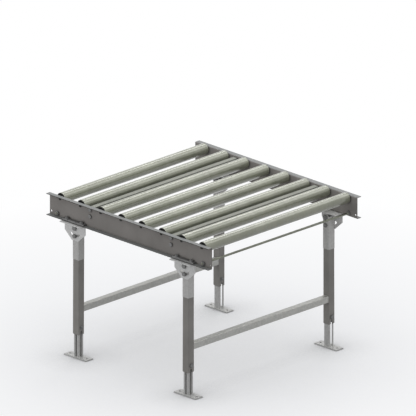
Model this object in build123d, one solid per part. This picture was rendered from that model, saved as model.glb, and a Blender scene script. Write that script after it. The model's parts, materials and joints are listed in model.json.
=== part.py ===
from build123d import *
import os

# Length X runs along the conveyor, Y along the rollers, and Z is height above the floor.
# Left is the +Y side and right the -Y side, front is the +X end and rear the -X end.

# The whole section, in millimetres
section_length = 1000.0
rail_spacing = 900.0
conveying_height = 740.0
roller_proud = 10.0
roller_count = 8

# Side rails, folded channels whose flanges point outwards
rail_height = 100.0
rail_flange = 25.0
rail_wall = 2.5
rail_bend = 1.5

# Rollers, a steel tube with a moulded bearing housing pressed into each end
roller_diameter = 50.0
roller_wall = 1.5
roller_end_gap = 4.5
housing_depth = 20.0
housing_fit = 0.05

# Axles, hexagonal bars that pass through both rails, held in place by a spring inside the roller
axle_flats = 11.0
axle_over = 4.0
axle_fit = 0.25
inner_ring_diameter = 18.0
inner_ring_length = 14.0
inner_ring_setback = 3.0
ring_fit = 0.02
spring_diameter = 17.0
spring_bore = 13.4
spring_length = 32.0

# Cross members, folded channels with a tapped plate welded over each end
cross_member_height = 50.0
cross_member_depth = 25.0
cross_member_wall = 2.5
cross_member_drop = 8.0
end_plate_thickness = 4.0
end_plate_edge = 9.5

# Tie rods, near the foot of the rails at both ends of the section
tie_rod_diameter = 10.0
tie_rod_end_margin = 50.0
tie_rod_rise = 16.0
tie_rod_thread_over = 4.0

# Joining holes at the rail ends, in line with the tie rods
joining_hole_diameter = 9.0
joining_hole_end_margin = 10.0

# Stands, two legs and a crossbar each
stand_end_margin = 161.25
leg_width = 35.0
leg_wall = 2.0
leg_bottom = 109.0
leg_inset = 16.25
sleeve_wall = 1.2
sleeve_fit = 0.05
sleeve_drop = 149.0
leg_top_margin = 21.0
crossbar_width = 30.0
crossbar_height = 225.0

# Feet, slotted tubes that slide in the legs, each welded to a base plate
foot_fit = 0.5
foot_wall = 2.0
foot_top_gap = 112.0
foot_plate_length = 135.0
foot_plate_width = 44.0
foot_plate_thickness = 5.0
anchor_hole_diameter = 11.0
anchor_hole_edge = 17.5
foot_slot_margin = 45.0

# Height locks, a bolt through each leg's front wall and the slot of its foot, into a nut inside
height_bolt_diameter = 10.0
height_bolt_rise = 33.0
height_slot_fit = 0.5
leg_notch_width = 9.0
leg_notch_height = 16.0

# Tilting head brackets, a plate below the rail with an ear down the leg's outer side
bracket_length = 130.0
bracket_thickness = 4.0
bracket_inner_margin = 5.0
bracket_outer_margin = 14.5
ear_thickness = 4.0
ear_side_margin = 2.0
ear_bottom_margin = 23.0
ear_shoulder_drop = 20.0
ear_corner = 3.0
head_gap = 1.25
pivot_bolt_diameter = 12.0
tilt_bolt_diameter = 10.0
tilt_bolt_radius = 37.0
tilt_slot_fit = 0.5
tilt_limit = 40.0

# Clamp bars on the lower flanges, held down by nuts on studs welded to the brackets
clamp_bar_side = 2.75
clamp_bar_thickness = 8.0
clamp_stud_diameter = 8.0
clamp_stud_edge = 20.0
clamp_stud_over = 4.0

# Fasteners, each across-flats width and height as a share of the thread's diameter
hex_width_share = 1.7
hex_head_share = 0.64
hex_nut_share = 0.8
washer_width_share = 2.0
washer_thickness_share = 0.2
cross_bolt_diameter = 10.0
cross_bolt_over = 6.0
bolt_over = 2.0
thread_fit = 0.05
hole_fit = 0.3
turning_fit = 0.1
moving_gap = 0.3
cut_over = 5.0

# Sides of the small round forms, and of those that other pieces cover
covered_sides = 6
bearing_sides = 8
small_sides = 12

# Places that follow from the sizes above
half_length = section_length / 2
web_outer = rail_spacing / 2
web_inner = web_outer - rail_wall
flange_tip = web_inner + rail_flange
rail_top = conveying_height - roller_proud
rail_bottom = rail_top - rail_height
roller_radius = roller_diameter / 2
roller_axis = conveying_height - roller_radius
roller_pitch = section_length / roller_count
roller_places = [(n + 0.5) * roller_pitch - half_length for n in range(roller_count)]
roller_end = web_inner - roller_end_gap
tie_rod_x = half_length - tie_rod_end_margin
tie_rod_z = rail_bottom + tie_rod_rise
cross_member_places = [roller_pitch * 2 - half_length, half_length - roller_pitch * 2]
cross_member_z = rail_top - cross_member_drop - cross_member_height / 2
cross_bolt_offset = cross_member_height / 2 - end_plate_edge
stand_places = {"front": half_length - stand_end_margin, "rear": stand_end_margin - half_length}
sides = {"left": 1, "right": -1}
sleeve_width = leg_width + 2 * (sleeve_fit + sleeve_wall)
leg_y = web_outer - leg_inset
leg_inner = leg_y - leg_width / 2
ear_inner = leg_y + sleeve_width / 2 + moving_gap
ear_outer = ear_inner + ear_thickness
bracket_bottom = rail_bottom - bracket_thickness
pivot_z = bracket_bottom - head_gap - sleeve_width / 2
tilt_bolt_z = pivot_z - tilt_bolt_radius
sleeve_bottom = pivot_z - sleeve_drop
leg_top = tilt_bolt_z + leg_top_margin
foot_width = leg_width - 2 * (leg_wall + foot_fit)
foot_tube_length = tilt_bolt_z - foot_top_gap - foot_plate_thickness
height_bolt_z = leg_bottom + height_bolt_rise
clamp_stud_y = (web_outer + flange_tip) / 2
clamp_stud_x = bracket_length / 2 - clamp_stud_edge
clamp_bar_width = flange_tip - web_outer - 2 * clamp_bar_side
clamp_bar_top = rail_bottom + rail_wall + clamp_bar_thickness


# Helpers

def outwards(side):
    """Turn that points +Z out of the left (+1) or the right (-1) rail."""
    return Rot(-90 * side, 0, 0)


def prism(outline, length):
    """The outline's prism, half of its length on each side of its plane."""
    return extrude(outline, length / 2, both=True)


def covered_hole(diameter, length):
    """Cutter for a hole that a head, nut or sleeve covers, outside the circle of this diameter."""
    return prism(RegularPolygon(diameter / 2, covered_sides, major_radius=False), length)


def across(x, y, z):
    """Place whose +Z lies along the rollers."""
    return Pos(x, y, z) * Rot(90, 0, 0)


def along(x, y, z):
    """Place whose +Z points to the front."""
    return Pos(x, y, z) * Rot(0, 90, 0)


def hex_prism(flats, length):
    """Six-sided prism that stands on its plane."""
    return extrude(RegularPolygon(flats / 2, 6, major_radius=False), length)


def thread(diameter, length):
    """Threaded shank that stands on its plane, inside the circle of its diameter."""
    return extrude(RegularPolygon(diameter / 2, covered_sides), length)


def hex_bolt(diameter, length):
    """Bolt along Z with its head's seat on the plane and its shank below."""
    head = hex_prism(diameter * hex_width_share, diameter * hex_head_share)
    return head + Pos(0, 0, -length) * thread(diameter, length)


def hex_nut(diameter):
    """Nut on its plane, with a bore that clears its thread."""
    height = diameter * hex_nut_share
    nut = hex_prism(diameter * hex_width_share, height)
    return nut - covered_hole(diameter + 2 * thread_fit, 3 * height)


def washer(diameter):
    """Flat washer on its plane for a thread of this diameter."""
    height = diameter * washer_thickness_share
    ring = extrude(RegularPolygon(diameter * washer_width_share / 2, small_sides), height)
    return ring - covered_hole(diameter + 2 * thread_fit, 3 * height)


def square_tube(width, wall, length):
    """Square tube along Z from its plane."""
    bore = width - 2 * wall
    return extrude(Rectangle(width, width) - Rectangle(bore, bore), length)


def folded_channel(depth, height, wall, bend):
    """Channel outline open towards +X, with its back on the Y axis."""
    outside = Rectangle(depth, height, align=(Align.MIN, Align.CENTER))
    outside = fillet(outside.vertices().group_by(Axis.X)[0], bend + wall)
    hollow = Rectangle(depth, height - 2 * wall, align=(Align.MIN, Align.CENTER))
    hollow = fillet(hollow.vertices().group_by(Axis.X)[0], bend)
    return outside - Pos(wall, 0) * hollow


# Side rails

def web_holes():
    """Cutters through the left rail's web, for axles, cross members, tie rods and joining bolts."""
    web_y = web_outer - rail_wall / 2
    through = rail_wall + 2 * cut_over
    axle_hole = RegularPolygon(axle_flats / 2 + axle_fit, 6, major_radius=False)
    holes = [across(x, web_y, roller_axis) * prism(axle_hole, through) for x in roller_places]
    cross_hole = covered_hole(cross_bolt_diameter + 2 * hole_fit, through)
    for x in cross_member_places:
        for offset in (-cross_bolt_offset, cross_bolt_offset):
            holes.append(across(x, web_y, cross_member_z + offset) * cross_hole)
    rod_hole = covered_hole(tie_rod_diameter + 2 * hole_fit, through)
    joining_hole = Cylinder(joining_hole_diameter / 2, through)
    for end in (-1, 1):
        holes.append(across(end * tie_rod_x, web_y, tie_rod_z) * rod_hole)
        joining_x = end * (half_length - joining_hole_end_margin)
        holes.append(across(joining_x, web_y, tie_rod_z) * joining_hole)
    return holes


def side_rail(side):
    """Folded channel along one side, drilled through its web and its lower flange."""
    outline = folded_channel(rail_flange, rail_height, rail_wall, rail_bend)
    middle = (rail_top + rail_bottom) / 2
    rail = extrude(Plane.YZ * Pos(web_inner, middle) * outline, half_length, both=True)
    rail -= web_holes()
    stud_hole = covered_hole(clamp_stud_diameter + 2 * hole_fit, rail_wall + 2 * cut_over)
    for x in stand_places.values():
        for offset in (-clamp_stud_x, clamp_stud_x):
            rail -= Pos(x + offset, clamp_stud_y, rail_bottom + rail_wall / 2) * stud_hole
    return rail if side > 0 else mirror(rail, about=Plane.XZ)


# Rollers

def roller_tube(x):
    wall = Circle(roller_radius) - Circle(roller_radius - roller_wall)
    return across(x, 0, roller_axis) * prism(wall, 2 * roller_end)


def end_pair(piece, x):
    """Copies of a piece at both ends of a roller, its plane on the roller's end faces."""
    places = [Pos(x, side * roller_end, roller_axis) * outwards(-side) for side in sides.values()]
    return [place * piece for place in places]


def roller_housings(x):
    """Moulded plugs that hold the outer races of the two bearings."""
    plug = RegularPolygon(roller_radius - roller_wall - housing_fit, 2 * bearing_sides)
    race = RegularPolygon(inner_ring_diameter / 2 + moving_gap, bearing_sides, major_radius=False)
    return end_pair(extrude(plug - race, housing_depth), x)


def bearing_inner_rings():
    """Inner rings that stay on the axles, one inside each housing."""
    bore = RegularPolygon(axle_flats / 2 + ring_fit, 6, major_radius=False)
    outline = RegularPolygon(inner_ring_diameter / 2, bearing_sides) - bore
    ring = Pos(0, 0, inner_ring_setback) * extrude(outline, inner_ring_length)
    return [copy for x in roller_places for copy in end_pair(ring, x)]


def axle_spring(x):
    """Sleeve with the outer shape of the spring that keeps the axle in its holes."""
    bore = RegularPolygon(spring_bore / 2, bearing_sides, major_radius=False)
    outline = RegularPolygon(spring_diameter / 2, bearing_sides) - bore
    start = roller_end - inner_ring_setback - inner_ring_length
    return Pos(x, start, roller_axis) * outwards(-1) * extrude(outline, spring_length)


def roller_axle(x):
    """Hexagonal bar that passes through both rails."""
    bar = RegularPolygon(axle_flats / 2, 6, major_radius=False)
    return across(x, 0, roller_axis) * prism(bar, 2 * (web_outer + axle_over))


# Cross members

def cross_member(x):
    """Channel between the rails with its back to the front, and a tapped plate on each end."""
    outline = folded_channel(cross_member_depth, cross_member_height, cross_member_wall, rail_bend)
    back = across(x + cross_member_depth / 2, 0, cross_member_z) * Rot(0, 180, 0)
    member = prism(back * outline, 2 * (web_inner - end_plate_thickness))
    plate = Box(cross_member_depth, end_plate_thickness, cross_member_height)
    tapped = covered_hole(cross_bolt_diameter + 2 * thread_fit, end_plate_thickness + cut_over)
    for side in sides.values():
        middle = side * (web_inner - end_plate_thickness / 2)
        member += Pos(x, middle, cross_member_z) * plate
        for offset in (-cross_bolt_offset, cross_bolt_offset):
            member -= across(x, middle, cross_member_z + offset) * tapped
    return member


def cross_member_bolts():
    bolt = hex_bolt(cross_bolt_diameter, rail_wall + end_plate_thickness + cross_bolt_over)
    bolts = []
    for x in cross_member_places:
        for offset in (-cross_bolt_offset, cross_bolt_offset):
            for side in sides.values():
                place = Pos(x, side * web_outer, cross_member_z + offset)
                bolts.append(place * outwards(side) * bolt)
    return bolts


# Tie rods

def tie_rod(x):
    nut_height = tie_rod_diameter * hex_nut_share
    bar = RegularPolygon(tie_rod_diameter / 2, small_sides)
    return across(x, 0, tie_rod_z) * prism(bar, 2 * (web_outer + nut_height + tie_rod_thread_over))


def tie_rod_nuts():
    """A nut on each face of both webs, at both rods."""
    nut = hex_nut(tie_rod_diameter)
    nuts = []
    for x in (-tie_rod_x, tie_rod_x):
        for side in sides.values():
            nuts.append(Pos(x, side * web_outer, tie_rod_z) * outwards(side) * nut)
            nuts.append(Pos(x, side * web_inner, tie_rod_z) * outwards(-side) * nut)
    return nuts


# Tilting head brackets

def ear_outline():
    """Ear about the leg's centre line, tapered down to the width of the sleeve."""
    half_width = bracket_length / 2 - ear_side_margin
    half_foot = sleeve_width / 2
    shoulder = pivot_z - ear_shoulder_drop
    bottom = tilt_bolt_z - ear_bottom_margin
    corners = [
        (-half_width, bracket_bottom),
        (-half_width, shoulder),
        (-half_foot, bottom),
        (half_foot, bottom),
        (half_width, shoulder),
        (half_width, bracket_bottom),
    ]
    ear = make_face(Polyline(*corners, close=True))
    return fillet(ear.vertices().group_by(Axis.Y)[0], ear_corner)


def tilt_slot():
    """Arc slot about the pivot, with the tilt lock's bolt at its middle."""
    path = CenterArc((0, pivot_z), tilt_bolt_radius, -90 - tilt_limit, 2 * tilt_limit)
    return SlotArc(path, tilt_bolt_diameter + 2 * tilt_slot_fit)


def head_bracket(x, side):
    """Plate below the rail's flange, with an ear that holds the pivot and the arc slot."""
    plate_inner = leg_y - sleeve_width / 2 - bracket_inner_margin
    plate_outer = flange_tip + bracket_outer_margin
    plate = Box(bracket_length, plate_outer - plate_inner, bracket_thickness)
    plate = Pos(0, (plate_inner + plate_outer) / 2, rail_bottom - bracket_thickness / 2) * plate
    ear = extrude(Plane.XZ.offset(-ear_outer) * (ear_outline() - tilt_slot()), ear_thickness)
    pivot_hole = covered_hole(pivot_bolt_diameter + 2 * thread_fit, 2 * cut_over)
    ear -= across(0, (ear_inner + ear_outer) / 2, pivot_z) * pivot_hole
    bracket = Pos(x, 0, 0) * (plate + ear)
    return bracket if side > 0 else mirror(bracket, about=Plane.XZ)


def pivot_bolts():
    """A bolt and a nut at each leg's pivot, on the hinge line of the stand."""
    nut_seat = leg_y - sleeve_width / 2 - moving_gap
    nut_height = pivot_bolt_diameter * hex_nut_share
    bolt = hex_bolt(pivot_bolt_diameter, ear_outer - nut_seat + nut_height + bolt_over)
    nut = hex_nut(pivot_bolt_diameter)
    pieces = []
    for x in stand_places.values():
        for side in sides.values():
            pieces.append(Pos(x, side * ear_outer, pivot_z) * outwards(side) * bolt)
            pieces.append(Pos(x, side * nut_seat, pivot_z) * outwards(-side) * nut)
    return pieces


# Clamps on the lower flanges

def at_clamp_studs(piece, z):
    """Copies of a piece at every clamp stud, at one height."""
    copies = []
    for x in stand_places.values():
        for side in sides.values():
            for offset in (-clamp_stud_x, clamp_stud_x):
                copies.append(Pos(x + offset, side * clamp_stud_y, z) * piece)
    return copies


def clamp_bars():
    """Flat bars that back the lower flanges over each bracket."""
    bar = Box(bracket_length, clamp_bar_width, clamp_bar_thickness)
    hole = covered_hole(clamp_stud_diameter + 2 * hole_fit, clamp_bar_thickness + 2 * cut_over)
    for offset in (-clamp_stud_x, clamp_stud_x):
        bar -= Pos(offset, 0, 0) * hole
    middle = clamp_bar_top - clamp_bar_thickness / 2
    bars = []
    for x in stand_places.values():
        for side in sides.values():
            bars.append(Pos(x, side * clamp_stud_y, middle) * bar)
    return bars


def clamp_studs():
    """Studs welded to the tops of the bracket plates."""
    top = clamp_bar_top + clamp_stud_diameter * hex_nut_share + clamp_stud_over
    return at_clamp_studs(thread(clamp_stud_diameter, top - rail_bottom), rail_bottom)


def clamp_nuts():
    return at_clamp_studs(hex_nut(clamp_stud_diameter), clamp_bar_top)


# Stands

def foot_notch(x, side):
    """Cutter for the round-topped notch at the foot of a leg's front wall."""
    radius = leg_notch_width / 2
    front_wall = x + leg_width / 2 - leg_wall / 2
    place = along(front_wall, side * leg_y, leg_bottom + leg_notch_height - radius)
    below = Rectangle(leg_notch_height, leg_notch_width, align=(Align.MIN, Align.CENTER))
    return place * prism(RegularPolygon(radius, small_sides) + below, leg_wall + cut_over)


def leg_tube(x, side):
    """Lower leg, open at its foot, drilled for the height lock and the tilt lock."""
    leg = Pos(x, side * leg_y, leg_bottom) * square_tube(leg_width, leg_wall, leg_top - leg_bottom)
    height_hole = covered_hole(height_bolt_diameter + 2 * turning_fit, leg_width)
    leg -= along(x + leg_width / 2, side * leg_y, height_bolt_z) * height_hole
    tilt_hole = covered_hole(tilt_bolt_diameter + 2 * turning_fit, leg_width + 2 * cut_over)
    leg -= across(x, side * leg_y, tilt_bolt_z) * tilt_hole
    return leg - foot_notch(x, side)


def head_sleeve(x, side):
    """Sleeve over the top of a leg, with a rounded end about its pivot."""
    length = pivot_z + sleeve_width / 2 - sleeve_bottom
    sleeve = Pos(x, side * leg_y, sleeve_bottom) * square_tube(sleeve_width, sleeve_wall, length)
    through = sleeve_width + 2 * cut_over
    pivot = across(x, side * leg_y, pivot_z)
    below = Box(through, through, length + cut_over, align=(Align.CENTER, Align.CENTER, Align.MAX))
    round_end = pivot * prism(RegularPolygon(sleeve_width / 2, small_sides), through)
    sleeve &= round_end + Pos(x, side * leg_y, pivot_z) * below
    sleeve -= pivot * covered_hole(pivot_bolt_diameter + 2 * turning_fit, through)
    tilt_hole = covered_hole(tilt_bolt_diameter + 2 * turning_fit, through)
    return sleeve - across(x, side * leg_y, tilt_bolt_z) * tilt_hole


def crossbar(x):
    """Square tube welded between the inner faces of the two legs."""
    return across(x, leg_inner, crossbar_height) * square_tube(crossbar_width, leg_wall, 2 * leg_inner)


def tilt_locks(x):
    """Bolt, washer and nut that clamp each leg in the arc slot of its ear."""
    washer_height = tilt_bolt_diameter * washer_thickness_share
    head_seat = ear_outer + moving_gap + washer_height
    nut_seat = leg_y - sleeve_width / 2
    length = head_seat - nut_seat + tilt_bolt_diameter * hex_nut_share + bolt_over
    bolt = hex_bolt(tilt_bolt_diameter, length)
    pieces = []
    for side in sides.values():
        pieces.append(Pos(x, side * head_seat, tilt_bolt_z) * outwards(side) * bolt)
        washer_seat = Pos(x, side * (head_seat - washer_height), tilt_bolt_z)
        pieces.append(washer_seat * outwards(side) * washer(tilt_bolt_diameter))
        pieces.append(Pos(x, side * nut_seat, tilt_bolt_z) * outwards(-side) * hex_nut(tilt_bolt_diameter))
    return pieces


def height_locks(x):
    """Bolt and washer on each leg, and the nut that they draw against the foot's slotted wall."""
    washer_height = height_bolt_diameter * washer_thickness_share
    nut_height = height_bolt_diameter * hex_nut_share
    nut_seat = foot_width / 2 - foot_wall - moving_gap
    length = washer_height + leg_width / 2 - nut_seat + nut_height + bolt_over
    bolt = Pos(0, 0, washer_height) * hex_bolt(height_bolt_diameter, length)
    pieces = []
    for side in sides.values():
        front_face = along(x + leg_width / 2, side * leg_y, height_bolt_z)
        pieces.append(front_face * bolt)
        pieces.append(front_face * washer(height_bolt_diameter))
        nut_place = along(x + nut_seat - nut_height, side * leg_y, height_bolt_z)
        pieces.append(nut_place * hex_nut(height_bolt_diameter))
    return pieces


# Feet

def foot(x, side):
    """Tube that slides in the leg, slotted up its front wall, and welded to a drilled base plate."""
    base = Rectangle(foot_plate_length, foot_plate_width)
    anchor_x = foot_plate_length / 2 - anchor_hole_edge
    for offset in (-anchor_x, anchor_x):
        base -= Pos(offset, 0) * Circle(anchor_hole_diameter / 2)
    radius = height_bolt_diameter / 2 + height_slot_fit
    slot_top = foot_tube_length - foot_slot_margin - radius
    below = Rectangle(foot_tube_length, 2 * radius, align=(Align.MIN, Align.CENTER))
    slot = prism(RegularPolygon(radius, small_sides) + below, foot_width / 2)
    tube = square_tube(foot_width, foot_wall, foot_tube_length)
    tube -= along(foot_width / 2, 0, slot_top) * slot
    tube = Pos(0, 0, foot_plate_thickness) * tube
    return Pos(x, side * leg_y, 0) * (extrude(base, foot_plate_thickness) + tube)


# Write every piece under its name

def write(name, shape):
    if isinstance(shape, list):
        shape = Compound(children=shape)
    export_step(shape, os.path.join("parts", name + ".step"))


os.makedirs("parts", exist_ok=True)

for side_name, side in sides.items():
    write(side_name + "_rail", side_rail(side))

for number, x in enumerate(roller_places, start=1):
    write(f"roller_{number}_tube", roller_tube(x))
    write(f"roller_{number}_housings", roller_housings(x))
    write(f"roller_{number}_axle", roller_axle(x))

write("bearing_inner_rings", bearing_inner_rings())
write("axle_springs", [axle_spring(x) for x in roller_places])
write("rear_cross_member", cross_member(cross_member_places[0]))
write("front_cross_member", cross_member(cross_member_places[1]))
write("cross_member_bolts", cross_member_bolts())
write("rear_tie_rod", tie_rod(-tie_rod_x))
write("front_tie_rod", tie_rod(tie_rod_x))
write("tie_rod_nuts", tie_rod_nuts())
write("pivot_bolts", pivot_bolts())
write("clamp_bars", clamp_bars())
write("clamp_studs", clamp_studs())
write("clamp_nuts", clamp_nuts())

for stand_name, x in stand_places.items():
    for side_name, side in sides.items():
        corner = f"{stand_name}_{side_name}"
        write(corner + "_head_bracket", head_bracket(x, side))
        write(corner + "_leg", leg_tube(x, side))
        write(corner + "_foot", foot(x, side))
    write(stand_name + "_head_sleeves", [head_sleeve(x, side) for side in sides.values()])
    write(stand_name + "_crossbar", crossbar(x))
    write(stand_name + "_tilt_locks", tilt_locks(x))
    write(stand_name + "_height_locks", height_locks(x))
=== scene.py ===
import json
from math import cos, pi, radians, sin, tan

import bmesh
import bpy
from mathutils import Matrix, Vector


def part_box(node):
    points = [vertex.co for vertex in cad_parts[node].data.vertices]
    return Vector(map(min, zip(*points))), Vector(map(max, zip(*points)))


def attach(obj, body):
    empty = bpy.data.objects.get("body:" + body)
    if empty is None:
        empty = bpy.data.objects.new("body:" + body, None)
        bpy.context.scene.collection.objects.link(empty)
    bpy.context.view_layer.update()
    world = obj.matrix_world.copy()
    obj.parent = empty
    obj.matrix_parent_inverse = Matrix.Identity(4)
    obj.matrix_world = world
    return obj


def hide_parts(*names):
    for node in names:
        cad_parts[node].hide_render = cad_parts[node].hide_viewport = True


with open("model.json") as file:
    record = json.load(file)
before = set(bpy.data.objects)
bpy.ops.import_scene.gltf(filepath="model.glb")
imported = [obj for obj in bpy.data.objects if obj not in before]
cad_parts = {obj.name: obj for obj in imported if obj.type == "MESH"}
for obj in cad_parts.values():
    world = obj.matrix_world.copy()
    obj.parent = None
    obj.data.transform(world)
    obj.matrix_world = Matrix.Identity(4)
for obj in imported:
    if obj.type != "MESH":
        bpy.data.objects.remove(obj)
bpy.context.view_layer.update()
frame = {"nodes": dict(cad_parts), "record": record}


# Side rails
# Two channels folded from 2.5 mm steel sheet, flanges outwards, punched for the axles, bolts and joints.
# They are enamelled in a warm dark grey after folding, which has chipped to dark steel along the cut edges, and
# that dark also paints a shade line along them.
cad_nodes = frame["nodes"]
body_of_node = {n: body for body, names in frame["record"]["behaviour"]["bodies"].items() for n in names}
rail_grey = (0.350, 0.330, 0.313, 1.0)
# Dark bare steel for chips and cut edges, which also paints a shade line along the cut edges.
chipped_steel_and_edge_shade = (0.050, 0.047, 0.043, 1.0)
# Tone for upward faces: settled dust, and also painted shade and painted reflection on the tops.
top_dust_shade_and_sheen = (0.285, 0.298, 0.298, 1.0)
# Painted shade: this near-black is mixed in where the enamel lies closed in, and stands for shade there as well
# as grime.
corner_grime_and_shade = (0.085, 0.083, 0.072, 1.0)
wear_reach = 0.0018
grime_and_shade_reach = 0.010
rail_sheet = 0.0025
rail_arris = 0.0004
arris_steps = 2
sharp_turn = radians(50)
flat_turn = radians(0.5)
weld_distance = 0.000001


def add(tree, kind, inputs=None, **settings):
    """A node of that kind, with its settings, and its inputs set to values or linked from outputs."""
    node = tree.nodes.new(kind)
    for name, value in settings.items():
        setattr(node, name, value)
    for name, value in (inputs or {}).items():
        if isinstance(value, bpy.types.NodeSocket):
            tree.links.new(value, node.inputs[name])
        else:
            node.inputs[name].default_value = value
    return node


def new_finish(name, **sockets):
    """A material and its node tree, with constants set on the shader's own sockets."""
    material = bpy.data.materials.new(name)
    material.use_nodes = True
    shader = material.node_tree.nodes["Principled BSDF"]
    for socket, value in sockets.items():
        shader.inputs[socket.replace("_", " ")].default_value = value
    return material, material.node_tree, shader


def surface_place(tree, scale=(1, 1, 1)):
    """The piece's own coordinates, stretched by a scale for each axis."""
    here = add(tree, "ShaderNodeTexCoord").outputs["Object"]
    return add(tree, "ShaderNodeMapping", {"Vector": here, "Scale": scale}).outputs["Vector"]


def noise(tree, place, scale, detail=3.0, roughness=0.5):
    inputs = {"Vector": place, "Scale": scale, "Detail": detail, "Roughness": roughness}
    return add(tree, "ShaderNodeTexNoise", inputs).outputs["Fac"]


def ranged(tree, value, low, high, to_low, to_high):
    """The value, moved from one range to another and held inside it."""
    inputs = {"Value": value, "From Min": low, "From Max": high, "To Min": to_low, "To Max": to_high}
    return add(tree, "ShaderNodeMapRange", inputs).outputs["Result"]


def mixed(tree, share, first, second):
    """Two colours, mixed by a share."""
    node = add(tree, "ShaderNodeMix", data_type="RGBA")
    for index, value in ((0, share), (6, first), (7, second)):
        if isinstance(value, bpy.types.NodeSocket):
            tree.links.new(value, node.inputs[index])
        else:
            node.inputs[index].default_value = value
    return node.outputs[2]


def sum_of(tree, operation, first, second):
    """The result of a sum, by the operation's name."""
    return add(tree, "ShaderNodeMath", {0: first, 1: second}, operation=operation).outputs[0]


def product(tree, first, second):
    return sum_of(tree, "MULTIPLY", first, second)


def clouded(tree, clouds, dark, pale):
    """A dark and a pale tone that drift into each other with the clouds."""
    return mixed(tree, ranged(tree, clouds, 0.3, 0.7, 0.0, 1.0), dark, pale)


def openness(tree, reach, samples=6):
    """How open the surface lies: low in corners and under things, within a reach."""
    return add(tree, "ShaderNodeAmbientOcclusion", {"Distance": reach}, samples=samples).outputs["AO"]


def cover(tree, shader, colour, roughness, heights):
    """Colour, roughness and bumps on the shader. Each height map comes with its depth in metres."""
    tree.links.new(colour, shader.inputs["Base Color"])
    tree.links.new(roughness, shader.inputs["Roughness"])
    normal = None
    for height, depth in heights:
        inputs = {"Height": height, "Distance": depth, "Strength": 1.0}
        if normal is not None:
            inputs["Normal"] = normal
        normal = add(tree, "ShaderNodeBump", inputs).outputs["Normal"]
    tree.links.new(normal, shader.inputs["Normal"])


def arris_wear(tree, ragged):
    """Share of wear along sharp edges, broken up by a noise."""
    rounded = add(tree, "ShaderNodeBevel", {"Radius": wear_reach}, samples=6).outputs["Normal"]
    flat = add(tree, "ShaderNodeNewGeometry").outputs["Normal"]
    turn = add(tree, "ShaderNodeVectorMath", {0: rounded, 1: flat}, operation="DOT_PRODUCT")
    edge = ranged(tree, turn.outputs["Value"], 0.995, 0.94, 0.0, 1.0)
    return product(tree, edge, ranged(tree, ragged, 0.30, 0.50, 0.0, 1.0))


def enamel(name, colour, roughness, wear, dust):
    """Stove enamel: clouded, with orange peel, chipped edges with a painted shade line along the cut edges, a
    dust tone on its tops with painted shade and reflection, and painted shade with grime in its corners.
    """
    material, tree, shader = new_finish(name, Specular_IOR_Level=0.10)
    place = surface_place(tree)
    clouds = noise(tree, place, 7.0, 5.0, 0.6)
    specks = noise(tree, place, 420.0, 2.0)
    peel = noise(tree, place, 1500.0, 2.0)
    paler = tuple(min(1.0, c * 1.14) for c in colour[:3]) + (1.0,)
    darker = tuple(c * 0.89 for c in colour[:3]) + (1.0,)
    paint = clouded(tree, clouds, darker, paler)
    facing = add(tree, "ShaderNodeTexCoord").outputs["Normal"]
    upward = add(tree, "ShaderNodeSeparateXYZ", {"Vector": facing}).outputs["Z"]
    # Upward faces drift to the top tone: dust, with painted shade and painted reflection.
    top_share = product(tree, ranged(tree, upward, 0.6, 0.95, 0.0, 1.0),
                      ranged(tree, clouds, 0.3, 0.7, 0.95, 0.6))
    dusted_and_top_toned = mixed(tree, top_share, paint, dust)
    # Painted shade: darker in corners and under things, by how open the surface lies, as well as grime.
    grime_and_shade = product(tree, ranged(tree, openness(tree, grime_and_shade_reach), 0.35, 0.9, 0.75, 0.0),
                    ranged(tree, specks, 0.3, 0.6, 0.6, 1.0))
    soiled_and_shaded = mixed(tree, grime_and_shade, dusted_and_top_toned, corner_grime_and_shade)
    worn = product(tree, arris_wear(tree, specks), wear)
    cut = add(tree, "ShaderNodeAttribute", attribute_name="cut").outputs["Fac"]
    # Painted shade line along the cut edges, as well as chipped paint.
    cut_chips_and_shade = product(tree, cut, ranged(tree, specks, 0.25, 0.5, 0.6, 0.95))
    bare_and_edge_shade = sum_of(tree, "MAXIMUM", worn, cut_chips_and_shade)
    cover(tree, shader, mixed(tree, bare_and_edge_shade, soiled_and_shaded, chipped_steel_and_edge_shade),
          ranged(tree, clouds, 0.25, 0.75, roughness - 0.06, roughness + 0.07),
          [(peel, 0.00002), (clouds, 0.0004)])
    return material


def merged_copy(node):
    """The CAD piece's own triangles, welded together and with flat faces made whole."""
    mesh = bmesh.new()
    mesh.from_mesh(cad_nodes[node].data)
    bmesh.ops.remove_doubles(mesh, verts=mesh.verts, dist=weld_distance)
    bmesh.ops.dissolve_limit(mesh, angle_limit=flat_turn, verts=mesh.verts, edges=mesh.edges)
    return mesh


def sharp_edges(mesh, at_least):
    return [e for e in mesh.edges if len(e.link_faces) == 2 and e.calc_face_angle() > at_least]


def break_edges(mesh, edges, width, steps):
    bmesh.ops.bevel(mesh, geom=edges, offset=width, segments=steps, profile=0.5, affect="EDGES")


def mark_cut_edges(mesh, thickness):
    """Marks the narrow faces between two sharp edges, along which the sheet was cut."""
    cut = mesh.faces.layers.float.new("cut")
    for face in mesh.faces:
        long_sides = sorted(face.edges, key=lambda e: e.calc_length())[-2:]
        narrow = face.calc_area() / long_sides[1].calc_length() < 1.1 * thickness
        sharp = all(len(e.link_faces) == 2 and e.calc_face_angle() > sharp_turn for e in long_sides)
        face[cut] = 1.0 if narrow and sharp else 0.0


def set_piece(name, mesh, material, body, smooth_to):
    """A finished piece from a bmesh or a mesh, riding on its body, with its faces shaded as they meet."""
    if isinstance(mesh, bmesh.types.BMesh):
        data = bpy.data.meshes.new(name)
        mesh.to_mesh(data)
        mesh.free()
    else:
        data = mesh
    data.name = name
    data.shade_smooth()
    data.set_sharp_from_angle(angle=smooth_to)
    data.materials.clear()
    data.materials.append(material)
    piece = bpy.data.objects.new(name, data)
    bpy.context.scene.collection.objects.link(piece)
    weighting = piece.modifiers.new("flat faces stay flat", "WEIGHTED_NORMAL")
    weighting.keep_sharp = True
    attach(piece, body)
    return piece


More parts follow.
